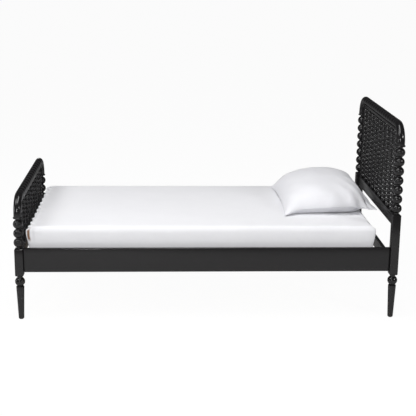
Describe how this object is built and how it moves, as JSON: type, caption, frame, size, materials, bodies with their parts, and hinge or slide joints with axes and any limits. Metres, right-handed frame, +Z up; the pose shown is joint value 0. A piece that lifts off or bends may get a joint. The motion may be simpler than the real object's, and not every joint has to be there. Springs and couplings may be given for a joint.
{
  "type": "spindle bed",
  "caption": "Single bed with turned ball posts, round elbows, beaded top rails and rows of beaded spindles at head and foot, on side rails and slats, with mattress and pillow.",
  "frame": {"origin": "on the floor, at the middle of the bed", "axes": "+X towards the headboard, +Y towards the side of the bed away from the picture's near side, +Z up"},
  "size_m": [2.094, 1.084, 1.0941],
  "materials": {
    "black_paint": "satin black paint over turned and sawn hardwood",
    "bare_wood": "planed, unpainted softwood",
    "steel": "zinc plated",
    "plug": "black, smooth dome",
    "glide": "matte black",
    "tape": "woven tape",
    "mattress": "smooth white cotton sheet",
    "pillow": "smooth white cotton case"
  },
  "bodies": {
    "bed_frame": {"floor_glides": "glide", "footboard_corner_strip_left": "black_paint", "footboard_corner_strip_right": "black_paint", "footboard_elbow_left": "black_paint", "footboard_elbow_right": "black_paint", "footboard_panel_rail": "black_paint", "footboard_post_left": "black_paint", "footboard_post_right": "black_paint", "footboard_spindle_01": "black_paint", "footboard_spindle_02": "black_paint", "footboard_spindle_03": "black_paint", "footboard_spindle_04": "black_paint", "footboard_spindle_05": "black_paint", "footboard_spindle_06": "black_paint", "footboard_spindle_07": "black_paint", "footboard_spindle_08": "black_paint", "footboard_spindle_09": "black_paint", "footboard_top_rail": "black_paint", "footboard_top_strip": "black_paint", "headboard_corner_strip_left": "black_paint", "headboard_corner_strip_right": "black_paint", "headboard_elbow_left": "black_paint", "headboard_elbow_right": "black_paint", "headboard_hole_plugs": "plug", "headboard_lower_rail": "black_paint", "headboard_panel_rail": "black_paint", "headboard_post_left": "black_paint", "headboard_post_right": "black_paint", "headboard_spindle_01": "black_paint", "headboard_spindle_02": "black_paint", "headboard_spindle_03": "black_paint", "headboard_spindle_04": "black_paint", "headboard_spindle_05": "black_paint", "headboard_spindle_06": "black_paint", "headboard_spindle_07": "black_paint", "headboard_spindle_08": "black_paint", "headboard_spindle_09": "black_paint", "headboard_top_rail": "black_paint", "headboard_top_strip": "black_paint", "rail_barrel_nuts": "steel", "rail_bolts": "steel", "side_rail_left": "black_paint", "side_rail_right": "black_paint", "slat_01": "bare_wood", "slat_02": "bare_wood", "slat_03": "bare_wood", "slat_04": "bare_wood", "slat_05": "bare_wood", "slat_06": "bare_wood", "slat_07": "bare_wood", "slat_08": "bare_wood", "slat_09": "bare_wood", "slat_10": "bare_wood", "slat_11": "bare_wood", "slat_12": "bare_wood", "slat_cleat_left": "bare_wood", "slat_cleat_right": "bare_wood", "slat_tapes": "tape"},
    "mattress": {"mattress": "mattress"},
    "pillow": {"pillow": "pillow"}
  },
  "joints": [
    {"name": "mattress_lift", "type": "slide", "parent": "bed_frame", "child": "mattress", "axis": [0, 0, 1], "range_m": [0, 0.4]},
    {"name": "pillow_lift", "type": "slide", "parent": "mattress", "child": "pillow", "axis": [0, 0, 1], "range_m": [0, 0.3]}
  ]
}
